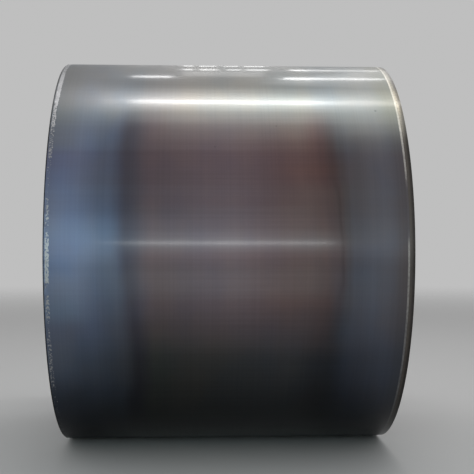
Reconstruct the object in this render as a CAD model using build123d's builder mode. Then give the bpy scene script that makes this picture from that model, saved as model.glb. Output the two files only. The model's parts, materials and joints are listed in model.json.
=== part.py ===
from build123d import *
import math
import os

# A wide coil of heat-tinted cold rolled steel strip, lying on its side.
# Millimetres. X runs along the coil's bore, Y to the back and Z up.
# The origin is under the middle of the coil, on the ground that it lies on.

# Driving dimensions of the strip and of the coil that it is wound into
strip_width = 1250.0
strip_gauge = 1.2
coil_diameter = 1540.0
bore_diameter = 508.0

# The outermost turn, and the turns under it that have slipped along the bore
outer_turns = 1
slipped_turns = 3
right_slip = 19.0
left_slip = 4.5

# How the turns further in sway from side to side, in groups, as they were wound
groups = 40
sway = 4.0
sway_waves = 2.6
flutter = 1.9
flutter_waves = 11.3

# Radii where the wound groups and the turns over them begin
coil_radius = coil_diameter / 2
bore_radius = bore_diameter / 2
outer_build = outer_turns * strip_gauge
slipped_build = slipped_turns * strip_gauge
outer_start = coil_radius - outer_build
right_start = outer_start - slipped_build
left_start = right_start - slipped_build
group_build = (left_start - bore_radius) / groups

# The outermost turn's middle, which puts the middle of the whole coil at the origin
outer_centre = (left_slip - right_slip) / 2


def ring(centre, start, build):
    """Place, in the half section, of a ring of turns: its sideways centre and its middle radius."""
    return (centre, start + build / 2)


def wound_ring(number):
    """Place of one group of turns, which sways to one side or the other."""
    angle = 2 * math.pi * number / groups
    centre = sway * math.sin(sway_waves * angle) + flutter * math.sin(flutter_waves * angle)
    return ring(centre, bore_radius + number * group_build, group_build)


# The coil is one strip, turned here as one ring whose ends step from group to group
bore_axis = Axis((0, 0, coil_radius), (1, 0, 0))
with BuildPart() as steel_coil:
    with BuildSketch(Plane.XZ.shift_origin(bore_axis.position)) as half_section:
        with Locations(*[wound_ring(number) for number in range(groups)]):
            Rectangle(strip_width, group_build)
        with Locations(ring(outer_centre - left_slip, left_start, slipped_build)):
            Rectangle(strip_width, slipped_build)
        with Locations(ring(outer_centre + right_slip, right_start, slipped_build)):
            Rectangle(strip_width, slipped_build)
        with Locations(ring(outer_centre, outer_start, outer_build)):
            Rectangle(strip_width, outer_build)
    revolve(axis=bore_axis, revolution_arc=360)
steel_coil.part.label = "steel_coil"

os.makedirs("parts", exist_ok=True)
export_step(steel_coil.part, "parts/steel_coil.step")
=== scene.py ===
"""Looks of a wide coil of heat tinted, cold rolled steel strip that lies on its side.

The strip's outer turns and its innermost turn are laid out flat, wound up and
dressed. The turns between them are one spun body whose ends step from ring to
ring. Everything is in metres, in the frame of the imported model.
"""

import json
import logging
import math
import random
from dataclasses import dataclass
from enum import Enum
from typing import Optional, Sequence, Union

import bmesh
import bpy
from bpy.types import Material, Node, NodeSocket, Object, World
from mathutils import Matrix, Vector, noise

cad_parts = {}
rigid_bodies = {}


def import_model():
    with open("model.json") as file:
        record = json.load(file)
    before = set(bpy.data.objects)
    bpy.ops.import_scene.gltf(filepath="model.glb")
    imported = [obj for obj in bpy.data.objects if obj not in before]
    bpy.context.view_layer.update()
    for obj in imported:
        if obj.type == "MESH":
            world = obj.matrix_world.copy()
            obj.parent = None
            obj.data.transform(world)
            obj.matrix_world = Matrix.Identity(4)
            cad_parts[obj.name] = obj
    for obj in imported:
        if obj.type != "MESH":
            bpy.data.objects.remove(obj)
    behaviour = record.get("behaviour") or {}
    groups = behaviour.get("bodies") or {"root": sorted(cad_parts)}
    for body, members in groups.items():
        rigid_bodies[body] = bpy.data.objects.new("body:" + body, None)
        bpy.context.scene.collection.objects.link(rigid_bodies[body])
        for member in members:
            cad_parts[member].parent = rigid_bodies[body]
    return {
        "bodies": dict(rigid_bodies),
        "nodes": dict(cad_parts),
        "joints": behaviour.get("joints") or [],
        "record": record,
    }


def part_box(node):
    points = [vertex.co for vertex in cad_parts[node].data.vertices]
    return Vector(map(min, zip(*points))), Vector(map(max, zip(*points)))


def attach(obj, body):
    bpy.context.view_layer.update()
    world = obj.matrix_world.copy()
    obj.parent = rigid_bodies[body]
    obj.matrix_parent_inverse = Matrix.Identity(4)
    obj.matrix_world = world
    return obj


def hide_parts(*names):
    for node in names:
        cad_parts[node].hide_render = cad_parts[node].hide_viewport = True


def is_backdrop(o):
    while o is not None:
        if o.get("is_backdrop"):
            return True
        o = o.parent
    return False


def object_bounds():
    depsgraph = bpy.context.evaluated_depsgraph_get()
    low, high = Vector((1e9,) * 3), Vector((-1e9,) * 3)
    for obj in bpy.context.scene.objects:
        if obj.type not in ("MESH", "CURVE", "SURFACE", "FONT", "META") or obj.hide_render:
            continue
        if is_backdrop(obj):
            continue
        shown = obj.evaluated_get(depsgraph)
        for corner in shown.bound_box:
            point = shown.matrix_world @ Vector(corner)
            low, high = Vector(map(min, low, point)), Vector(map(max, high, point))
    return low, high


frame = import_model()
cad_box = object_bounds()

LOG = logging.getLogger("steel_coil")
COIL_NODE = "steel_coil"
BODY = "root"
STRIP_MAP = "strip"
MILLIMETRES = 1000
FULL_TURN = 2 * math.pi
LEVEL_VIEW = math.pi / 2
SHARP_ANGLE = math.radians(35)
WHITE = (1.0, 1.0, 1.0)

Value = Union[float, Sequence[float], NodeSocket]
Colour = tuple[float, float, float]
Point = tuple[float, float, float]
Spot = tuple[float, float]
Span = tuple[float, float]
Window = tuple[Span, Span]
Numbers = tuple[float, ...]

# A range, and what its two ends become
Change = tuple[float, float, float, float]

# Places from 0 to 1, each followed by a colour's three numbers or by a grey level
Stops = tuple[Numbers, ...]


class Blend(Enum):
    """How one colour is laid over another."""

    MIX = "MIX"
    MULTIPLY = "MULTIPLY"


class Sense(Enum):
    """Whether a strip that starts low at the back comes up over the front or over the back."""

    OVER_THE_FRONT = 1
    OVER_THE_BACK = -1


def smoothstep(low: float, high: float, value: float) -> float:
    """Rises smoothly from 0 at low to 1 at high.

    Args:
        low: Where the rise begins.
        high: Where the rise ends.
        value: The place on the rise.

    Returns:
        A share from 0 to 1.
    """
    share = min(max((value - low) / (high - low), 0.0), 1.0)
    return share * share * (3 - 2 * share)


@dataclass(frozen=True)
class Coil:
    """Sizes of the whole coil, in metres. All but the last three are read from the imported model."""

    strip_width: float
    bore_radius: float
    coil_radius: float
    axis_height: float
    half_width: float
    gauge: float = 0.0012
    left_slip: float = 0.0045
    slipped_turns: int = 3

    @classmethod
    def from_frame(cls, packed: dict) -> "Coil":
        """Reads the coil's sizes from its node's box and its bore mount.


        Returns:
            The coil's sizes.
        """
        lowest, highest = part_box(COIL_NODE)
        bore = next(mount for mount in packed["record"]["mounts"] if mount["name"] == "bore")
        return cls(
            strip_width=bore["dims"]["length_mm"] / MILLIMETRES,
            bore_radius=bore["dims"]["r_mm"] / MILLIMETRES,
            coil_radius=(highest.z - lowest.z) / 2,
            axis_height=bore["pos_m"][2],
            half_width=(highest.x - lowest.x) / 2,
        )

    @property
    def outer_edge(self) -> float:
        """Left edge of the outermost turn."""
        return self.left_slip - self.half_width

    @property
    def right_slip(self) -> float:
        """How far the turns under the outermost one stand out on the right."""
        return self.half_width - self.outer_edge - self.strip_width

    @property
    def wound_radius(self) -> float:
        """Outer radius of the evenly wound turns, under the slipped ones."""
        return self.coil_radius - self.gauge * (1 + 2 * self.slipped_turns)


@dataclass(frozen=True)
class Grain:
    """Stretch, place and fineness of one noise pattern."""

    scale: Point
    offset: Point = (0.0, 0.0, 0.0)
    detail: float = 2.0
    roughness: float = 0.5


class Graph:
    """Adds the nodes of one material or world, with one short call for each."""

    def __init__(self, owner: Union[Material, World]) -> None:
        """Starts from an empty tree.

        Args:
            owner: The material or world.
        """
        owner.use_nodes = True
        self.tree = owner.node_tree
        self.tree.nodes.clear()

    def node(self, kind: str, inputs: dict, **settings: object) -> Node:
        """Adds a node.

        Args:
            kind: The node's type name, without its ShaderNode prefix.
            inputs: Socket names or numbers, each with a value or another node's output.
            settings: The node's own properties.

        Returns:
            The new node.
        """
        made = self.tree.nodes.new("ShaderNode" + kind)
        for name, setting in settings.items():
            setattr(made, name, setting)
        for key, value in inputs.items():
            socket = made.inputs[key]
            if isinstance(value, NodeSocket):
                self.tree.links.new(value, socket)
            else:
                socket.default_value = (*value, 1.0) if socket.type == "RGBA" else value
        return made

    def math(self, operation: str, first: Value, second: Value = 0.0, third: Value = 0.0) -> NodeSocket:
        """Works out one number from up to three."""
        inputs = {0: first, 1: second, 2: third}
        return self.node("Math", inputs, operation=operation).outputs[0]

    def times(self, first: Value, second: Value) -> NodeSocket:
        """Multiplies two numbers."""
        return self.math("MULTIPLY", first, second)

    def object_place(self) -> NodeSocket:
        """Gives a point's place on its object."""
        return self.node("TexCoord", {}).outputs["Object"]

    def parts(self, vector: NodeSocket) -> Sequence[NodeSocket]:
        """Gives a vector's three numbers."""
        return self.node("SeparateXYZ", {"Vector": vector}).outputs

    def vector(self, *parts: Value) -> NodeSocket:
        """Makes a vector from up to three numbers."""
        return self.node("CombineXYZ", dict(enumerate(parts))).outputs[0]

    def distance(self, first: Value, second: Value = (0.0, 0.0, 0.0)) -> NodeSocket:
        """Gives the distance between two points."""
        ends = {0: first, 1: second}
        return self.node("VectorMath", ends, operation="DISTANCE").outputs["Value"]

    def endwise(self) -> NodeSocket:
        """Tells how squarely a face looks along the bore, from 0 to 1."""
        facing = self.node("NewGeometry", {}).outputs["Normal"]
        return self.math("ABSOLUTE", self.parts(facing)[0])

    def cloud(self, vector: NodeSocket, detail: float, roughness: float = 0.5) -> NodeSocket:
        """Gives smooth noise around 0.5."""
        inputs = {"Vector": vector, "Scale": 1.0, "Detail": detail, "Roughness": roughness}
        return self.node("TexNoise", inputs).outputs[0]

    def pattern(self, vector: NodeSocket, grain: Grain) -> NodeSocket:
        """Gives noise around 0.5 on stretched and shifted coordinates."""
        inputs = {"Vector": vector, "Scale": grain.scale, "Location": grain.offset}
        return self.cloud(self.node("Mapping", inputs).outputs[0], grain.detail, grain.roughness)

    def span(
        self, value: Value, low: float, high: float, to_low: float = 0.0, to_high: float = 1.0,
    ) -> NodeSocket:
        """Maps a number from one range to another, smoothly and clamped.

        Args:
            value: The number.
            low: Where the range begins. It may lie above high.
            high: Where the range ends.
            to_low: What low becomes.
            to_high: What high becomes.

        Returns:
            The new number's socket.
        """
        inputs = {"Value": value, "From Min": low, "From Max": high}
        inputs |= {"To Min": to_low, "To Max": to_high}
        return self.node("MapRange", inputs, interpolation_type="SMOOTHSTEP").outputs[0]

    def window(self, value: Value, rise: Span, fall: Span) -> NodeSocket:
        """Is 1 between a rise and a fall and 0 beyond both. The fall's span starts at its far end."""
        return self.times(self.span(value, *rise), self.span(value, *fall))

    def ramp(self, value: NodeSocket, stops: Stops) -> NodeSocket:
        """Turns a number from 0 to 1 into a colour.

        Args:
            value: The number.
            stops: Places from 0 to 1, each followed by its colour or its grey level.

        Returns:
            The colour's socket.
        """
        made = self.node("ValToRGB", {0: value})
        ramp = made.color_ramp
        ramp.interpolation = "EASE"
        for number, (place, *shade) in enumerate(stops):
            if number >= len(ramp.elements):
                ramp.elements.new(place)
            colour = shade * 3 if len(shade) == 1 else shade
            ramp.elements[number].position = place
            ramp.elements[number].color = (*colour, 1.0)
        return made.outputs[0]

    def over(self, share: Value, under: Value, colour: Value, blend: Blend = Blend.MIX) -> NodeSocket:
        """Lays a colour over another by a share."""
        inputs = {0: share, 6: under, 7: colour}
        return self.node("Mix", inputs, data_type="RGBA", blend_type=blend.value).outputs[2]

    def shaded(self, colour: Value, shade: Value) -> NodeSocket:
        """Multiplies a colour by a shade."""
        return self.over(1.0, colour, shade, Blend.MULTIPLY)

    def finish(self, shader: Node) -> None:
        """Gives the tree its output."""
        self.node("OutputMaterial", {"Surface": shader.outputs[0]})


class StripGraph(Graph):
    """Graph of the strip's face, with the places and patterns that its colours follow.

    Attributes:
        place: The strip's own coordinates, across it and along it.
        across: Distance from the left edge.
        turn: Share of a turn along the strip.
        level: Share of the width, which wanders a little.
        right: How much a place belongs to the right part, where the tints bulge.
        bulge: How far they bulge, as a share of the width.
        share: Share of the width that picks a tint.
        lift: Height on the coil, from -1 at its bottom to 1 at its top.
        streaks, lines, patches: The fine patterns.
    """

    def __init__(self, owner: Material, face: "TintedFace") -> None:
        """Finds the places and makes the patterns.

        Args:
            owner: The material.
            face: The finish.
        """
        super().__init__(owner)
        coil = face.coil
        self.place = self.node("UVMap", {}, uv_map=STRIP_MAP).outputs[0]
        self.across, along, _ = self.parts(self.place)
        self.turn = self.math("FRACT", self.math("DIVIDE", along, FULL_TURN * coil.coil_radius))
        clouds = self.pattern(self.place, face.cloud_grain)
        wander = self.math("MULTIPLY_ADD", clouds, face.wander, -face.wander / 2)
        self.level = self.math("DIVIDE", self.math("ADD", self.across, wander), coil.strip_width)
        self.right = self.window(self.level, *face.right_part)
        self.bulge = self.times(self.right, self.ramp(self.turn, face.bulge))
        from_pivot = self.math("SUBTRACT", face.drift_pivot, self.level)
        drift = self.times(self.ramp(self.turn, face.drift), from_pivot)
        self.share = self.math("SUBTRACT", self.math("SUBTRACT", self.level, drift), self.bulge)
        height = self.math("SUBTRACT", self.parts(self.object_place())[2], coil.axis_height)
        self.lift = self.math("DIVIDE", height, coil.coil_radius)
        self.streaks = self.pattern(self.place, face.streak_grain)
        self.lines = self.pattern(self.place, face.line_grain)
        self.patches = self.pattern(self.place, face.patch_grain)


@dataclass(frozen=True)
class Mark:
    """One small dark mark on the strip's face, in metres across and along it."""

    across: float
    along: float
    radius: float
    darkest: float
    core: float = 0.4

    def shade(self, graph: StripGraph) -> NodeSocket:
        """Gives the shade, which is darkest in the mark's core and 1 away from it."""
        distance = graph.distance(graph.place, (self.across, self.along, 0.0))
        return graph.span(distance, self.radius * self.core, self.radius, self.darkest, 1.0)


@dataclass(frozen=True)
class TintedFace:
    """Heat tinted, cold rolled face of the strip, with bare steel along its edges.

    Its colours follow the strip's own map, whose first coordinate runs across
    the strip from its left edge and whose second runs along it, in metres. In
    the fields a part is in shares of the strip's width, turns are in shares of
    a turn along it, and a lift is a height on the coil, from -1 at its bottom
    to 1 at its top. Each span runs from where a look begins to where it is full.
    """

    name: str
    coil: Coil
    marks: tuple[Mark, ...] = ()

    # Tints from the heat, across the strip
    tints: Stops = (
        (0.0, 0.147, 0.167, 0.246), (0.08, 0.162, 0.188, 0.283), (0.165, 0.11, 0.128, 0.188),
        (0.22, 0.067, 0.061, 0.084), (0.29, 0.122, 0.086, 0.1), (0.5, 0.15, 0.104, 0.123),
        (0.69, 0.142, 0.08, 0.08), (0.74, 0.122, 0.066, 0.065), (0.765, 0.1, 0.055, 0.056),
        (0.79, 0.08, 0.052, 0.055), (0.815, 0.084, 0.072, 0.08), (0.84, 0.1, 0.093, 0.109),
        (0.94, 0.129, 0.124, 0.147), (0.99, 0.106, 0.094, 0.104),
    )

    # How the tints wander, drift about a pivot and bulge on the right, along the strip
    wander: float = 0.04
    drift_pivot: float = 0.8
    drift: Stops = (
        (0.0, 0.02), (0.275, 0.014), (0.3, 0.042), (0.335, 0.044), (0.37, 0.024), (0.39, 0.011),
        (0.41, 0.003), (0.44, 0.0), (0.48, 0.0), (0.53, 0.03), (1.0, 0.03),
    )
    right_part: Window = ((0.55, 0.75), (0.87, 0.8))
    bulge: Stops = (
        (0.335, 0.0), (0.365, 0.014), (0.385, 0.031), (0.408, 0.033), (0.428, 0.024), (0.442, 0.02),
        (0.46, 0.005), (0.48, 0.0),
    )
    bulge_tint: Colour = (0.103, 0.087, 0.09)
    bulge_cover: float = 15.0

    # Painted light: a paler, greyer colour on the upper side, as if lit from above, which some parts of
    # the strip hold back
    lit_top: Stops = (
        (0.0, 0.156, 0.164, 0.169), (0.08, 0.171, 0.179, 0.189), (0.16, 0.165, 0.175, 0.184),
        (0.225, 0.15, 0.158, 0.164), (0.26, 0.166, 0.161, 0.155), (0.5, 0.161, 0.163, 0.149),
        (0.7, 0.141, 0.156, 0.148), (0.8, 0.141, 0.16, 0.165), (0.92, 0.164, 0.174, 0.168),
        (0.985, 0.166, 0.169, 0.14),
    )
    lit_top_lift: Span = (0.41, 0.71)
    lit_top_cover: float = 0.94
    hold: Stops = (
        (0.0, 0.0), (0.14, 0.08), (0.2, 0.85), (0.27, 0.85), (0.36, 0.33), (0.5, 0.2), (0.6, 0.1),
        (0.7, 0.05), (0.76, 0.35), (0.81, 0.1), (0.86, 0.0), (1.0, 0.0),
    )
    hold_strength: float = 3.0

    # Painted shade: a darker underside, darker still at its foot on the left, and a painted shadow
    # along its foot
    shaded_underside: Stops = (
        (0.0, 0.136, 0.162, 0.216), (0.08, 0.104, 0.127, 0.172), (0.18, 0.08, 0.093, 0.117),
        (0.23, 0.042, 0.045, 0.056), (0.285, 0.062, 0.069, 0.062), (0.37, 0.067, 0.071, 0.069),
        (0.65, 0.07, 0.078, 0.088), (0.775, 0.041, 0.047, 0.056), (0.86, 0.064, 0.076, 0.107),
        (0.94, 0.077, 0.089, 0.12), (1.0, 0.07, 0.075, 0.09),
    )
    shaded_underside_lift: Span = (-0.17, -0.53)
    shaded_underside_cover: float = 0.95
    foot: Stops = ((0.0, 0.54), (0.2, 0.92))
    foot_lift: Span = (-0.48, -0.72)
    shadow_lift: Span = (-0.55, -0.92)
    shadow: float = 0.2

    # Bands that follow one another along the strip, and how strong they are across it
    bands: Stops = (
        (0.345, 1.0), (0.36, 1.03, 1.09, 1.08), (0.37, 1.07, 1.13, 1.11), (0.383, 1.06, 1.11, 1.1),
        (0.392, 0.94, 0.975, 0.965), (0.402, 0.965, 1.0, 0.98), (0.418, 0.9, 0.98, 0.97),
        (0.424, 0.93, 1.0, 1.0), (0.428, 0.88, 0.95, 0.96), (0.436, 0.95, 1.01, 1.01),
        (0.446, 1.03, 1.12, 1.11), (0.454, 1.0, 1.03, 1.02), (0.47, 0.99, 0.98, 0.98),
        (0.4775, 0.98, 0.97, 0.97), (0.481, 1.12, 1.18, 1.15), (0.488, 1.1, 1.17, 1.13),
        (0.496, 0.99, 1.03, 1.0), (0.51, 0.93, 0.98, 0.95), (0.53, 1.0),
    )
    band_reach: Stops = ((0.12, 0.75), (0.28, 1.0), (0.5, 0.95), (0.7, 0.35))

    # Flushes along the left margin, on the right part and beside it
    left_part: Span = (0.12, 0.045)
    left_flush: Stops = (
        (0.345, 1.0), (0.36, 1.1, 1.2, 1.2), (0.378, 1.18, 1.2, 1.18), (0.392, 1.0, 1.06, 1.12),
        (0.405, 1.03, 1.03, 1.06), (0.42, 1.14, 1.11, 1.09), (0.455, 1.07, 1.11, 1.17),
        (0.47, 1.06, 1.03, 1.03), (0.485, 1.02, 0.93, 0.82), (0.5, 1.0, 0.96, 0.9), (0.52, 1.0),
    )
    right_flush: Stops = (
        (0.33, 1.0), (0.345, 0.88, 0.96, 0.99), (0.355, 0.9, 0.97, 1.0), (0.368, 1.04, 1.05, 1.03),
        (0.385, 1.12, 1.06, 1.04), (0.4, 1.1, 1.05, 1.03), (0.42, 1.02, 1.03, 1.02),
        (0.44, 1.0, 1.02, 1.01), (0.449, 1.0), (0.455, 0.98, 0.91, 0.92), (0.463, 1.05, 0.94, 0.9),
        (0.474, 0.98, 0.94, 0.95), (0.482, 1.07, 1.1, 1.08), (0.489, 1.06, 1.08, 1.06), (0.499, 1.0),
    )
    blue_part: Window = ((0.77, 0.8), (0.94, 0.88))
    blue_flush: Stops = (
        (0.325, 1.0), (0.345, 1.0, 1.08, 1.14), (0.36, 1.03, 1.13, 1.23), (0.383, 1.03, 1.13, 1.22),
        (0.4, 1.0, 1.03, 1.08), (0.415, 1.0),
    )

    # A paler stretch of the dark line on the left, and a thin line of painted shade on the right
    pale_turns: Window = ((0.34, 0.362), (0.402, 0.385))
    pale: Stops = ((0.165, 1.0), (0.21, 1.14), (0.25, 1.16), (0.3, 1.0))
    shade_line_turns: Window = ((0.365, 0.388), (0.46, 0.44))
    shade_line: Stops = ((0.781, 1.0), (0.788, 0.84), (0.792, 0.84), (0.797, 1.0))

    # Fine patterns of the rolled surface, and how far they shade the tints
    cloud_grain: Grain = Grain((5.0, 2.2, 1.0), (7.0, 2.0, 0.0), 4.0)
    patch_grain: Grain = Grain((7.0, 3.5, 1.0), (11.0, 4.0, 0.0), 3.0)
    patch_shades: Stops = ((0.3, 0.95, 0.99, 1.03), (0.7, 1.05, 1.01, 0.96))
    streak_grain: Grain = Grain((110.0, 0.35, 1.0), (0.0, 0.0, 0.0), 4.0, 0.6)
    streak_shades: Stops = ((0.3, 0.965), (0.7, 1.035))
    line_grain: Grain = Grain((900.0, 1.6, 1.0), (3.0, 5.0, 0.0))
    line_shades: Stops = ((0.3, 0.98), (0.7, 1.02))
    chatter_grain: Grain = Grain((1.3, 80.0, 1.0), (2.0, 6.0, 0.0), 3.0, 0.6)
    chatter_shades: Stops = ((0.3, 0.955, 0.95, 0.945), (0.7, 1.04, 1.045, 1.05))
    chatter_reach: Stops = ((0.12, 0.35), (0.3, 0.8), (0.62, 1.0), (0.8, 0.9), (0.84, 0.35))

    # Ragged band of bare steel along the left edge, in metres
    bare_steel: Colour = (0.42, 0.42, 0.43)
    left_bare: float = 0.0135
    ragged_grain: Grain = Grain((150.0, 120.0, 1.0), (0.0, 9.0, 0.0), 2.5, 0.6)
    ragged_reach: float = 0.014
    ragged_loss: float = 0.0105
    wear_reach: float = 0.01
    left_wear: Stops = (
        (0.0, 0.4), (0.285, 0.42), (0.305, 0.55), (0.335, 0.56), (0.35, 0.42), (0.356, 0.6),
        (0.369, 0.6), (0.376, 0.3), (0.381, 0.72), (0.411, 0.68), (0.417, 0.42), (0.427, 0.58),
        (0.438, 0.5), (0.445, 0.38), (0.465, 0.44), (0.479, 0.62), (0.488, 0.5), (0.508, 0.68),
        (0.519, 0.62), (0.53, 0.84), (0.565, 0.84), (0.58, 0.62), (0.68, 0.7), (0.8, 0.5), (1.0, 0.4),
    )
    unworn_bar: float = 0.93
    wear_gain: float = 0.72
    patch_edge: Span = (-0.05, 0.06)
    band_edge: Span = (0.0, 0.002)
    rim_edge: Span = (0.0025, 0.0045)

    # Narrow bright line along the right edge, in metres
    right_bare: float = 0.0072
    line_low: Colour = (0.58, 0.555, 0.52)
    line_high: Colour = (0.56, 0.53, 0.46)
    line_lift: Span = (0.46, 0.68)
    margin_shade: Stops = ((0.0, 1.0), (1.0, 1.0))
    line_wear: Stops = (
        (0.0, 0.24), (0.3, 0.25), (0.34, 0.31), (0.365, 0.47), (0.385, 0.52), (0.405, 0.52),
        (0.416, 0.03), (0.447, 0.03), (0.465, 0.75), (0.485, 1.0), (0.5, 1.0), (0.513, 0.56),
        (0.533, 0.46), (0.545, 0.68), (0.558, 1.0), (1.0, 0.9),
    )
    uneven_grain: Grain = Grain((60.0, 14.0, 1.0), (0.0, 4.0, 0.0), 3.0)
    waviness: float = 0.003
    line_edge: Span = (0.0, 0.0015)
    uneven_shades: Change = (0.25, 0.6, 0.6, 1.0)
    speckle_grain: Grain = Grain((120.0, 95.0, 1.0), (5.0, 1.0, 0.0))
    speckle_shades: Change = (0.35, 0.6, 0.7, 1.05)

    # Cut edges of the strip, told from its face by how they look along the bore
    cut_edge: Colour = (0.36, 0.365, 0.37)
    cut_facing: Span = (0.6, 0.9)

    # Gloss of the rolled steel, and the film of oil over it, which is thinner in bands up the coil
    roughnesses: Stops = (
        (0.0, 0.52), (0.06, 0.5), (0.15, 0.41), (0.24, 0.36), (0.74, 0.34), (0.84, 0.38), (1.0, 0.4),
    )
    streak_roughness: float = 0.06
    bare_roughness: float = 0.5
    oil: Stops = (
        (0.0, 0.0), (0.1, 0.06), (0.15, 0.3), (0.26, 0.8), (0.4, 1.0), (0.7, 1.0), (0.82, 0.5),
        (1.0, 0.5),
    )
    film: Stops = (
        (0.25, 0.35), (0.45, 1.0), (0.8, 1.0), (0.835, 0.35), (0.875, 0.35), (0.905, 1.0), (0.95, 1.0),
        (0.99, 0.6),
    )
    oil_patches: Change = (0.3, 0.7, 0.8, 1.12)
    line_height: float = 0.4

    def material(self) -> Material:
        """Builds the finish.

        Returns:
            The new material.
        """
        made = bpy.data.materials.new(self.name)
        graph = StripGraph(made, self)
        bare_left = self.left_mask(graph)
        colour = self.tinted(graph)
        height = graph.math("MULTIPLY_ADD", graph.lines, self.line_height, graph.streaks)
        bump = {"Strength": 0.02, "Distance": 0.0004, "Height": height}
        graph.finish(graph.node("BsdfPrincipled", {
            "Base Color": self.edged(graph, colour, bare_left),
            "Metallic": 1.0,
            "Roughness": self.roughness(graph, bare_left),
            "Anisotropic": 0.5,
            "Tangent": graph.node("Tangent", {}, direction_type="UV_MAP", uv_map=STRIP_MAP).outputs[0],
            "Normal": graph.node("Bump", bump).outputs[0],
            "Coat Weight": self.oil_weight(graph),
            "Coat Roughness": 0.11,
        }))
        return made

    def tinted(self, graph: StripGraph) -> NodeSocket:
        """Lays the painted paler top and the painted darker underside over the heat's tints, and shades
        them all.

        Args:
            graph: The material's graph.

        Returns:
            The colour.
        """
        bulged = graph.times(graph.bulge, self.bulge_cover)
        tint = graph.over(bulged, graph.ramp(graph.share, self.tints), self.bulge_tint)
        # Painted light: the upper side is painted paler and greyer, as if lit from above
        held = graph.math("MULTIPLY_ADD", graph.ramp(graph.share, self.hold), self.hold_strength, 1.0)
        lit_top_share = graph.math("POWER", graph.span(graph.lift, *self.lit_top_lift), held)
        lit_top_share = graph.times(lit_top_share, self.lit_top_cover)
        tint = graph.over(lit_top_share, tint, graph.ramp(graph.share, self.lit_top))
        # Painted shade: the underside is painted darker
        dark = graph.span(graph.lift, *self.shaded_underside_lift, 0.0, self.shaded_underside_cover)
        tint = graph.over(dark, tint, graph.ramp(graph.share, self.shaded_underside))
        chatter = graph.pattern(graph.place, self.chatter_grain)
        washes = (
            (graph.ramp(graph.share, self.band_reach), graph.turn, self.bands),
            (graph.right, graph.turn, self.right_flush),
            (graph.span(graph.share, *self.left_part), graph.turn, self.left_flush),
            (graph.window(graph.level, *self.blue_part), graph.turn, self.blue_flush),
            (graph.window(graph.turn, *self.pale_turns), graph.share, self.pale),
            # Painted shade: a thin darker line on the right, along part of the strip
            (graph.window(graph.turn, *self.shade_line_turns), graph.share, self.shade_line),
            (graph.ramp(graph.share, self.chatter_reach), chatter, self.chatter_shades),
            # Painted shade: darker still towards the foot on the left
            (graph.span(graph.lift, *self.foot_lift), graph.share, self.foot),
            (1.0, graph.patches, self.patch_shades),
            (1.0, graph.streaks, self.streak_shades),
            (1.0, graph.lines, self.line_shades),
        )
        for reach, value, shades in washes:
            tint = graph.over(reach, tint, graph.ramp(value, shades), Blend.MULTIPLY)
        return tint

    def edged(self, graph: StripGraph, colour: NodeSocket, bare_left: NodeSocket) -> NodeSocket:
        """Bares both edges of the strip, and shades its foot, its marks and its cut edges.

        Args:
            graph: The material's graph.
            colour: The colour so far.
            bare_left: The share of bare steel along the left edge.

        Returns:
            The finished colour.
        """
        colour = graph.over(bare_left, colour, self.bare_steel)
        line = graph.over(graph.span(graph.lift, *self.line_lift), self.line_low, self.line_high)
        width = self.coil.strip_width
        margin = graph.span(graph.across, width - self.right_bare, width)
        line = graph.shaded(line, graph.ramp(margin, self.margin_shade))
        colour = graph.over(self.right_mask(graph), colour, line)
        colour = graph.shaded(colour, graph.span(graph.lift, *self.shadow_lift, 1.0, self.shadow))
        for mark in self.marks:
            colour = graph.shaded(colour, mark.shade(graph))
        return graph.over(graph.span(graph.endwise(), *self.cut_facing), colour, self.cut_edge)

    def left_mask(self, graph: StripGraph) -> NodeSocket:
        """Finds the ragged band of bare steel along the left edge.

        Args:
            graph: The material's graph.

        Returns:
            The share of bare steel.
        """
        ragged = graph.pattern(graph.place, self.ragged_grain)
        worn = graph.ramp(graph.turn, self.left_wear)
        bar = graph.math("SUBTRACT", self.unworn_bar, graph.times(worn, self.wear_gain))
        patch = graph.span(graph.math("SUBTRACT", ragged, bar), *self.patch_edge)
        edge = graph.math("MULTIPLY_ADD", ragged, self.ragged_reach, self.left_bare - self.ragged_loss)
        edge = graph.math("MULTIPLY_ADD", worn, self.wear_reach, edge)
        band = graph.span(graph.math("SUBTRACT", edge, graph.across), *self.band_edge)
        rim = graph.span(graph.across, *self.rim_edge)
        return graph.times(graph.times(patch, band), rim)

    def right_mask(self, graph: StripGraph) -> NodeSocket:
        """Finds the narrow bright line along the right edge.

        Args:
            graph: The material's graph.

        Returns:
            The share of bare steel.
        """
        uneven = graph.pattern(graph.place, self.uneven_grain)
        start = self.coil.strip_width - self.right_bare - self.waviness / 2
        wavy = graph.math("MULTIPLY_ADD", uneven, self.waviness, start)
        line = graph.span(graph.math("SUBTRACT", graph.across, wavy), *self.line_edge)
        worn = graph.times(
            graph.ramp(graph.turn, self.line_wear), graph.span(uneven, *self.uneven_shades),
        )
        speckle = graph.span(graph.pattern(graph.place, self.speckle_grain), *self.speckle_shades)
        return graph.times(line, graph.math("MINIMUM", graph.times(worn, speckle), 1.0))

    def roughness(self, graph: StripGraph, bare_left: NodeSocket) -> NodeSocket:
        """Works out the steel's roughness.

        Args:
            graph: The material's graph.
            bare_left: The share of bare steel along the left edge.

        Returns:
            The roughness.
        """
        rough = graph.ramp(graph.share, self.roughnesses)
        streaked = graph.math("SUBTRACT", graph.streaks, 0.5)
        rough = graph.math("MULTIPLY_ADD", streaked, self.streak_roughness, rough)
        return graph.math("MAXIMUM", rough, graph.times(bare_left, self.bare_roughness))

    def oil_weight(self, graph: StripGraph) -> NodeSocket:
        """Works out the weight of the coat, which stands for the film of oil.

        Args:
            graph: The material's graph.

        Returns:
            The weight.
        """
        film = graph.ramp(graph.math("MULTIPLY_ADD", graph.lift, 0.5, 0.5), self.film)
        oil = graph.times(graph.ramp(graph.share, self.oil), film)
        return graph.times(oil, graph.span(graph.patches, *self.oil_patches))


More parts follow.
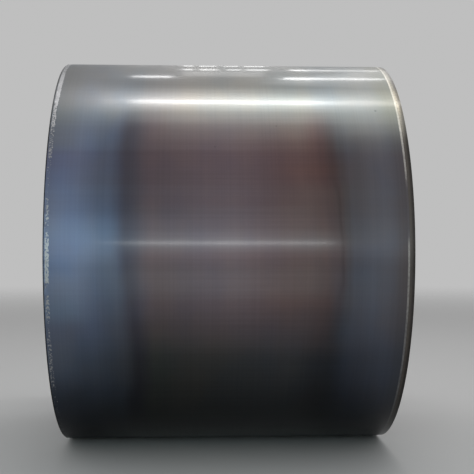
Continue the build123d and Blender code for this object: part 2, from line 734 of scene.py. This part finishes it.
@dataclass(frozen=True)
class SlippedFace(TintedFace):
    """Face of the slipped turns, of which only a dark margin shows."""

    left_bare: float = 0.0
    # Painted light: the margin is painted much paler towards the top of the coil (line_high) than lower
    # down (line_low)
    line_low: Colour = (0.125, 0.11, 0.098)
    line_high: Colour = (0.32, 0.295, 0.235)
    line_wear: Stops = ((0.0, 1.0), (1.0, 1.0))
    margin_shade: Stops = ((0.0, 1.0), (0.3, 0.85), (0.6, 0.5), (0.9, 0.3))
    tints: Stops = ((0.0, 0.04, 0.042, 0.052), (1.0, 0.08, 0.07, 0.07))
    lit_top: Stops = ((0.0, 0.06, 0.06, 0.062), (1.0, 0.06, 0.06, 0.062))
    shaded_underside: Stops = ((0.0, 0.04, 0.043, 0.052), (1.0, 0.06, 0.055, 0.055))


@dataclass(frozen=True)
class BoreFace(TintedFace):
    """Face of the innermost turn, which is bare only very near its edges."""

    left_bare: float = 0.004
    right_bare: float = 0.004


@dataclass(frozen=True)
class TurnEdges:
    """Cut edges of hundreds of turns, as they show on the ends of the coil.

    Each turn has its own shade, which changes along it. Broader bands group
    the turns, brown stains lie over them, and a dark seam parts each turn from
    the next. The walls of the steps between the rings are even and dull.
    """

    name: str
    coil: Coil
    steel: Colour = (0.43, 0.435, 0.44)
    gap: Colour = (0.04, 0.038, 0.039)
    warm: Colour = (0.24, 0.185, 0.14)
    wall: Colour = (0.17, 0.165, 0.165)
    turn_step: float = 0.37
    turn_scale: float = 2.4
    turn_shades: Stops = ((0.25, 0.55), (0.75, 1.5))
    band_scale: float = 46.0
    band_shades: Stops = ((0.3, 0.75), (0.7, 1.2))
    stain_grain: Grain = Grain((3.0, 5.0, 5.0), (0.0, 0.0, 0.0), 5.0, 0.6)
    stain_cover: Change = (0.5, 0.75, 0.0, 0.6)
    seam_edge: Span = (0.4, 0.48)
    wall_facing: Span = (0.3, 0.7)
    shade_height: float = 1.5
    roughnesses: Change = (0.2, 0.8, 0.36, 0.52)

    def material(self) -> Material:
        """Builds the finish.

        Returns:
            The new material.
        """
        made = bpy.data.materials.new(self.name)
        graph = Graph(made)
        place = graph.object_place()
        _, back, up = graph.parts(place)
        height = graph.math("SUBTRACT", up, self.coil.axis_height)
        reach = graph.math("SQRT", graph.math("MULTIPLY_ADD", back, back, graph.times(height, height)))
        build = graph.math("SUBTRACT", reach, self.coil.bore_radius)
        turns = graph.math("DIVIDE", build, self.coil.gauge)
        own_place = graph.vector(
            graph.times(graph.math("FLOOR", turns), self.turn_step),
            graph.times(back, self.turn_scale),
            graph.times(up, self.turn_scale),
        )
        shade = graph.cloud(own_place, detail=2.0)
        bands = graph.cloud(graph.vector(graph.times(reach, self.band_scale)), detail=3.0)
        stains = graph.pattern(place, self.stain_grain)
        from_middle = graph.math("SUBTRACT", graph.math("FRACT", turns), 0.5)
        seam = graph.span(graph.math("ABSOLUTE", from_middle), *self.seam_edge)

        colour = graph.over(graph.span(stains, *self.stain_cover), self.steel, self.warm)
        colour = graph.shaded(colour, graph.ramp(shade, self.turn_shades))
        colour = graph.shaded(colour, graph.ramp(bands, self.band_shades))
        colour = graph.over(seam, colour, self.gap)
        colour = graph.over(graph.span(graph.endwise(), *self.wall_facing), self.wall, colour)
        rise = graph.math("SUBTRACT", graph.times(shade, self.shade_height), seam)
        bump = {"Strength": 0.5, "Distance": 0.0004, "Height": rise}
        graph.finish(graph.node("BsdfPrincipled", {
            "Base Color": colour,
            "Metallic": 1.0,
            "Roughness": graph.span(shade, *self.roughnesses),
            "Anisotropic": 0.6,
            "Anisotropic Rotation": 0.25,
            "Tangent": graph.node("Tangent", {}, direction_type="RADIAL", axis="X").outputs[0],
            "Normal": graph.node("Bump", bump).outputs[0],
        }))
        return made


def finished_piece(name: str, shape: bmesh.types.BMesh, material: Material) -> Object:
    """Turns a mesh into a piece of the object, smooth except at its edges.

    Args:
        name: The piece's name.
        shape: The mesh, which is freed.
        material: The piece's finish.

    Returns:
        The new piece, riding on the coil's body.
    """
    mesh = bpy.data.meshes.new(name)
    shape.to_mesh(mesh)
    shape.free()
    mesh.shade_smooth()
    mesh.set_sharp_from_angle(angle=SHARP_ANGLE)
    mesh.materials.append(material)
    piece = bpy.data.objects.new(name, mesh)
    bpy.context.scene.collection.objects.link(piece)
    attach(piece, BODY)
    LOG.info("%s: %d faces", name, len(mesh.polygons))
    return piece


@dataclass(frozen=True)
class Ruffle:
    """How the strip's left margin is beaten in where nothing lies under it, in metres.

    Dents and swells are noises, given by their stretch along and across the strip and their layer.
    """

    overhang: float
    depth: float = 0.0022
    fall: float = 1.5
    dents: Numbers = (48.0, 60.0, 3.0)
    swells: Numbers = (7.0, 0.0, 8.0)
    evenly: float = 0.45
    by_dents: float = 0.9
    by_swells: float = 0.35

    def dent(self, across: float, along: float) -> float:
        """Finds how far a point of the strip is beaten in.

        Args:
            across: Distance from the strip's left edge.
            along: Distance along the strip.

        Returns:
            The depth.
        """
        if across >= self.overhang:
            return 0.0
        free = (1 - across / self.overhang) ** self.fall
        dent, swell = (
            noise.noise(Vector((along * pattern[0], across * pattern[1], pattern[2])))
            for pattern in (self.dents, self.swells)
        )
        beaten = self.evenly + self.by_dents * dent + self.by_swells * swell
        return self.depth * free * min(max(beaten, 0.0), 1.0)


@dataclass(frozen=True)
class Stretch:
    """One stretch of the strip, laid out flat, and the spiral that it is wound into.

    Attributes:
        name: The piece's name.
        turns: Where the stretch begins and ends, in turns along the strip.
        columns: How far its columns of vertices lie from its left edge.
        steps_per_turn: How many steps a turn has.
        start_angle: Where the strip starts, as an angle up from the front.
        start_radius: Outer radius at the start of the strip.
        growth: How much the radius changes in a turn.
        sense: Which way the strip runs.
        left_edge: Where its left edge lies along the bore at first.
        slide_turns: Where along the strip it slides over, if it does.
        slide: How far it slides.
        ruffle: How its left margin is beaten in, if it is.
    """

    name: str
    turns: Span
    columns: Numbers
    steps_per_turn: int
    start_angle: float
    start_radius: float
    growth: float
    sense: Sense
    left_edge: float
    slide_turns: Span = (0.0, 1.0)
    slide: float = 0.0
    ruffle: Optional[Ruffle] = None

    def flat_strip(self) -> bmesh.types.BMesh:
        """Lays the strip out flat, across and along it, with its own map.

        Returns:
            The flat mesh, in metres across the strip and in turns along it.
        """
        first, last = self.turns
        steps = round((last - first) * self.steps_per_turn)
        intervals = len(self.columns) - 1
        flat = bmesh.new()
        bmesh.ops.create_grid(flat, x_segments=intervals, y_segments=steps, size=1.0)
        strip_map = flat.loops.layers.uv.new(STRIP_MAP)
        for vertex in flat.verts:
            column = round((vertex.co.x + 1) / 2 * intervals)
            share = (vertex.co.y + 1) / 2
            vertex.co = (self.columns[column], first + (last - first) * share, 0.0)
        for face in flat.faces:
            for loop in face.loops:
                across, turn = loop.vert.co.xy
                loop[strip_map].uv = (across, turn * FULL_TURN * self.start_radius)
        return flat

    def build(self, coil: Coil, material: Material) -> Object:
        """Gives the flat strip its gauge and winds it up.

        Args:
            coil: The coil's sizes.
            material: The strip's finish.

        Returns:
            The new piece.
        """
        strip = self.flat_strip()
        bmesh.ops.solidify(strip, geom=strip.faces[:], thickness=coil.gauge)
        for vertex in strip.verts:
            across, turn, lift = vertex.co
            radius = self.start_radius + self.growth * turn - abs(lift)
            if self.ruffle:
                radius -= self.ruffle.dent(across, turn * FULL_TURN * self.start_radius)
            angle = self.start_angle + self.sense.value * turn * FULL_TURN
            sideways = self.left_edge + self.slide * smoothstep(*self.slide_turns, turn)
            height = coil.axis_height + radius * math.sin(angle)
            vertex.co = (sideways + across, -radius * math.cos(angle), height)
        bmesh.ops.recalc_face_normals(strip, faces=strip.faces[:])
        return finished_piece(self.name, strip, material)


@dataclass
class OuterTurns:
    """The last turns of the strip: the outermost one, and the slipped ones under it."""

    coil: Coil
    tail_angle: float = math.radians(215)
    outer_steps: int = 1280
    slipped_steps: int = 160
    outer_slide_turns: Span = (0.7, 0.97)
    slipped_slide_turns: Span = (3.72, 3.98)
    left_columns: Numbers = (0.0, 0.0015, 0.004, 0.007, 0.01, 0.013, 0.016, 0.019, 0.024)
    right_columns: Numbers = (0.01, 0.005, 0.002, 0.0)
    middle_columns: int = 10
    margin: float = 0.02
    marks: tuple[Mark, ...] = (
        Mark(1.168, 2.509, 0.006, 0.6),
        Mark(0.801, 2.427, 0.005, 0.8),
        Mark(0.581, 2.332, 0.005, 0.82),
        Mark(0.442, 2.76, 0.009, 0.8),
    )

    def outer_columns(self) -> Numbers:
        """Places the outermost turn's columns, closest at its two edges.

        Returns:
            Their distances from the strip's left edge.
        """
        right = tuple(self.coil.strip_width - inset for inset in self.right_columns)
        start = self.left_columns[-1]
        step = (right[0] - start) / self.middle_columns
        middle = tuple(start + step * number for number in range(1, self.middle_columns))
        return self.left_columns + middle + right

    def outermost(self) -> Object:
        """Winds and dresses the outermost turn, whose end slides over to the slipped turns.

        Returns:
            The new piece.
        """
        coil = self.coil
        turn = Stretch(
            "outermost_turn", (0.0, 1.0), self.outer_columns(), self.outer_steps, self.tail_angle,
            coil.coil_radius, -coil.gauge, Sense.OVER_THE_FRONT, coil.outer_edge,
            self.outer_slide_turns, coil.right_slip, Ruffle(coil.right_slip),
        )
        return turn.build(coil, TintedFace("tinted_face", coil, self.marks).material())

    def slipped(self) -> Object:
        """Winds and dresses the turns that have slipped, first to the right and then to the left.

        Returns:
            The new piece.
        """
        coil = self.coil
        width = coil.strip_width
        columns = (0.0, self.margin, width / 2, width - self.margin, width)
        face = SlippedFace("tinted_face_under", coil, right_bare=coil.right_slip)
        turns = Stretch(
            "slipped_turns", (1.0, 1.0 + 2 * coil.slipped_turns), columns, self.slipped_steps,
            self.tail_angle, coil.coil_radius, -coil.gauge, Sense.OVER_THE_FRONT,
            coil.outer_edge + coil.right_slip, self.slipped_slide_turns,
            -coil.right_slip - coil.left_slip,
        )
        return turns.build(coil, face.material())

    def build(self) -> list[Object]:
        """Builds both pieces."""
        return [self.outermost(), self.slipped()]


@dataclass
class WoundTurns:
    """The evenly wound turns between the bore and the slipped turns, as rings of a few turns each."""

    coil: Coil
    groups: int = 40
    sway: float = 0.004
    sway_waves: float = 2.6
    flutter: float = 0.0019
    flutter_waves: float = 11.3
    turns_per_ring: int = 3
    jitter: float = 0.00045
    stray: float = 0.0016
    stray_odds: float = 0.07
    segments: int = 128
    seed: int = 7

    def ring_places(self) -> list[Numbers]:
        """Works out each ring's radii and sideways place.

        Returns:
            Inner radius, outer radius and sideways place of each ring.
        """
        coil = self.coil
        draw = random.Random(self.seed)
        # The turns within and around the rings are spirals, which reach a gauge further than rings
        inner = coil.bore_radius + 2 * coil.gauge
        outer = coil.wound_radius - coil.gauge
        count = round((outer - inner) / (self.turns_per_ring * coil.gauge))
        build = (outer - inner) / count
        places = []
        for number in range(count):
            radius = inner + number * build
            share = (radius - coil.bore_radius) / (coil.wound_radius - coil.bore_radius)
            angle = FULL_TURN * math.floor(share * self.groups) / self.groups
            centre = self.sway * math.sin(self.sway_waves * angle)
            centre += self.flutter * math.sin(self.flutter_waves * angle)
            centre += draw.uniform(-self.jitter, self.jitter)
            if draw.random() < self.stray_odds:
                centre += draw.choice((-self.stray, self.stray))
            places.append((radius, radius + build, centre))
        return places

    def build(self) -> Object:
        """Spins the half section into one closed body and dresses it.

        Returns:
            The new piece.
        """
        coil = self.coil
        half = coil.strip_width / 2
        rings = self.ring_places()
        outline = []
        for inner, outer, centre in rings:
            outline += [(centre - half, inner), (centre - half, outer)]
        for inner, outer, centre in reversed(rings):
            outline += [(centre + half, outer), (centre + half, inner)]
        shape = bmesh.new()
        corners = [shape.verts.new((x, -radius, coil.axis_height)) for x, radius in outline]
        sides = [shape.edges.new((corners[n - 1], corners[n])) for n in range(len(corners))]
        bmesh.ops.spin(
            shape, geom=corners + sides, cent=(0, 0, coil.axis_height), axis=(1, 0, 0),
            angle=FULL_TURN, steps=self.segments, use_merge=True,
        )
        bmesh.ops.recalc_face_normals(shape, faces=shape.faces[:])
        return finished_piece("wound_turns", shape, TurnEdges("turn_edges", coil).material())


@dataclass
class InnermostTurn:
    """The first turn of the strip, which lines the bore and begins with the strip's inner end."""

    coil: Coil
    end_angle: float = math.radians(-130)
    steps: int = 160
    column_shares: Numbers = (0.0, 0.02, 0.25, 0.5, 0.75, 0.98, 1.0)

    def build(self) -> Object:
        """Winds the turn and dresses it.

        Returns:
            The new piece.
        """
        coil = self.coil
        columns = tuple(coil.strip_width * share for share in self.column_shares)
        turn = Stretch(
            "innermost_turn", (0.0, 1.0), columns, self.steps, self.end_angle,
            coil.bore_radius + coil.gauge, coil.gauge, Sense.OVER_THE_BACK, -coil.strip_width / 2,
        )
        return turn.build(coil, BoreFace("bore_face", coil).material())


@dataclass(frozen=True)
class Softbox:
    """One soft lamp over, behind or before the coil, with its length along the bore.

    Its place and its target each say how far back and how high. The target
    lies as far along the bore as the lamp, or by aside further.
    """

    name: str
    along: float
    place: Spot
    target: Spot
    length: float
    width: float
    glow: float
    colour: Colour = WHITE
    spread: float = math.pi
    aside: float = 0.0

    def hang(self) -> None:
        """Makes the lamp and turns it to its target."""
        light = bpy.data.lights.new(self.name, "AREA")
        light.shape = "RECTANGLE"
        light.size = self.length
        light.size_y = self.width
        light.energy = self.glow * math.pi * self.length * self.width
        light.color = self.colour
        light.spread = self.spread
        lamp = bpy.data.objects.new(self.name, light)
        lamp.location = (self.along, *self.place)
        aim = Vector((self.along + self.aside, *self.target)) - lamp.location
        lamp.rotation_euler = aim.to_track_quat("-Z", "Y").to_euler()
        lamp.visible_camera = False
        bpy.context.scene.collection.objects.link(lamp)


def lamp_row(
    name: str, spans: Sequence[Span], place: Spot, target: Spot, width: float, glow: float,
) -> tuple[Softbox, ...]:
    """Makes a row of separate lamps, end to end along the bore's direction.

    Args:
        name: What the lamps' names begin with.
        spans: Where each lamp begins and ends.
        place: How far back the row hangs, and how high.
        target: How far back and how high it points.
        width: Width of each lamp.
        glow: Strength of each lamp.

    Returns:
        The lamps.
    """
    return tuple(
        Softbox(f"{name}_{number}", (begin + end) / 2, place, target, end - begin, width, glow)
        for number, (begin, end) in enumerate(spans)
    )


@dataclass
class Studio:
    """Pale floor, soft light and the camera."""

    floor_colour: Colour = (0.54, 0.54, 0.54)
    floor_radius: float = 40.0
    floor_segments: int = 96
    fade: Span = (5.0, 16.0)
    sky: float = 0.52
    camera_place: Point = (-0.121, -3.954, 0.788)
    camera_pitch: float = math.radians(0.57)
    camera_turn: float = math.radians(-2.57)
    lens: float = 71.0
    sensor: float = 36.0
    lamps: tuple[Softbox, ...] = (
        Softbox("overhead_line", 0.18, (-0.075, 4.28), (-0.55, 1.32), 1.5, 0.18, 24.0),
        Softbox("overhead_line_end", -0.43, (0.0, 4.28), (-0.55, 1.32), 0.32, 0.13, 8.0),
        Softbox("overhead_line_left", -0.94, (-0.055, 4.28), (-0.54, 1.32), 0.64, 0.24, 5.3),
        Softbox("overhead_line_right", 1.12, (-0.07, 4.28), (-0.54, 1.32), 0.37, 0.26, 15.0,
                (1.07, 1.0, 0.95)),
        Softbox("overhead_soft", 0.75, (-0.2, 4.45), (-0.4, 1.3), 2.7, 1.9, 0.77),
        Softbox("upper_soft", 0.5, (-1.22, 4.37), (-0.61, 1.23), 2.0, 1.24, 0.28, (1.02, 1.0, 0.96)),
        Softbox("upper_right_soft", 1.3, (-0.95, 4.37), (-0.6, 1.25), 0.86, 1.4, 0.8,
                (0.94, 1.02, 1.02)),
        Softbox("rear_left_soft", -4.0, (4.0, 5.5), (-0.3, 1.45), 3.0, 3.0, 0.6, aside=3.5),
        Softbox("rear_right_soft", 3.0, (3.6, 6.0), (-0.3, 1.45), 3.6, 4.5, 0.7, aside=-2.5),
        Softbox("rear_line_left", -0.515, (2.8, 5.28), (-0.39, 1.43), 0.36, 0.24, 8.0),
        Softbox("rear_line_right", 1.145, (2.7, 5.36), (-0.39, 1.43), 0.93, 0.2, 9.5),
        Softbox("rear_band", 0.13, (3.21, 4.95), (-0.355, 1.45), 0.74, 0.8, 0.55),
        *lamp_row(
            "far_line_left", ((-0.255, -0.145), (-0.073, 0.111), (0.203, 0.346), (0.409, 0.622)),
            (4.66, 4.88), (-0.29, 1.48), 0.34, 2.6,
        ),
        *lamp_row(
            "top_line_left", ((-0.285, -0.15), (-0.064, 0.161), (0.274, 0.447), (0.524, 0.784)),
            (8.0, 4.5), (-0.2, 1.5), 0.6, 2.2,
        ),
        Softbox("far_line_right", 1.31, (4.66, 4.88), (-0.29, 1.48), 0.91, 0.3, 3.4),
        Softbox("front_line", 0.14, (-8.77, 1.44), (-0.77, 0.8), 2.76, 0.1, 9.5),
        Softbox("front_glow", 0.11, (-4.6, 1.11), (-0.77, 0.8), 1.73, 0.24, 0.42, (0.65, 1.05, 1.1)),
        Softbox("front_halo", 0.11, (-4.61, 1.11), (-0.77, 0.8), 1.73, 0.5, 0.37, (0.65, 1.05, 1.1)),
        Softbox("front_haze", 0.11, (-4.62, 1.14), (-0.77, 0.8), 1.73, 0.95, 0.26, (0.57, 1.07, 1.12)),
        Softbox("front_soft", 0.0, (-4.6, 2.1), (-0.76, 0.9), 1.5, 1.2, 0.15, (0.6, 1.04, 1.1)),
        Softbox("front_left_soft", -2.25, (-4.6, 1.15), (-0.77, 0.77), 2.0, 1.7, 0.71,
                (0.8, 1.05, 1.05), math.radians(90), aside=1.75),
        Softbox("low_soft", -0.08, (-1.7, 0.4), (-0.76, 0.7), 1.2, 0.54, 0.13, (0.7, 1.04, 1.0)),
        Softbox("low_glow", -0.08, (-1.71, 0.38), (-0.76, 0.69), 1.1, 0.34, 0.09, (0.7, 1.04, 1.0)),
    )

    def build(self) -> None:
        """Makes the floor, the sky, the lamps and the camera."""
        self.lay_floor()
        self.light_sky()
        for lamp in self.lamps:
            lamp.hang()
        self.place_camera()
        LOG.info("studio: %d lamps", len(self.lamps))

    def lay_floor(self) -> None:
        """Makes a wide round floor that fades into the sky."""
        shape = bmesh.new()
        bmesh.ops.create_circle(
            shape, cap_ends=True, segments=self.floor_segments, radius=self.floor_radius,
        )
        mesh = bpy.data.meshes.new("studio_floor")
        shape.to_mesh(mesh)
        shape.free()
        floor = bpy.data.objects.new("studio_floor", mesh)
        bpy.context.scene.collection.objects.link(floor)
        floor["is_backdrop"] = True
        made = bpy.data.materials.new("pale_floor")
        graph = Graph(made)
        faded = graph.span(graph.distance(graph.object_place()), *self.fade)
        paint = graph.node("BsdfPrincipled", {"Base Color": self.floor_colour, "Roughness": 0.9})
        clear = graph.node("BsdfTransparent", {})
        graph.finish(graph.node("MixShader", {0: faded, 1: paint.outputs[0], 2: clear.outputs[0]}))
        mesh.materials.append(made)

    def light_sky(self) -> None:
        """Makes an even pale sky."""
        world = bpy.data.worlds.new("studio_sky")
        bpy.context.scene.world = world
        graph = Graph(world)
        glow = graph.node("Background", {"Color": WHITE, "Strength": self.sky})
        graph.node("OutputWorld", {"Surface": glow.outputs[0]})

    def place_camera(self) -> None:
        """Puts the camera where the photograph was taken from."""
        data = bpy.data.cameras.new("camera")
        data.sensor_width = self.sensor
        data.lens = self.lens
        camera = bpy.data.objects.new("camera", data)
        camera.location = self.camera_place
        camera.rotation_euler = (LEVEL_VIEW + self.camera_pitch, 0.0, self.camera_turn)
        bpy.context.scene.collection.objects.link(camera)
        bpy.context.scene.camera = camera
        bpy.context.scene.view_settings.view_transform = "Standard"


def main() -> None:
    """Builds the coil's pieces and the studio."""
    logging.basicConfig(level=logging.INFO, format="%(name)s: %(message)s")
    coil = Coil.from_frame(frame)
    pieces = OuterTurns(coil).build()
    pieces.append(WoundTurns(coil).build())
    pieces.append(InnermostTurn(coil).build())
    for piece in pieces:
        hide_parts(COIL_NODE)
    Studio().build()
    boxes = {"cad": cad_box, "visual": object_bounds()}
    {name: [list(corner) for corner in box] for name, box in boxes.items()}


if __name__ == "__main__":
    main()
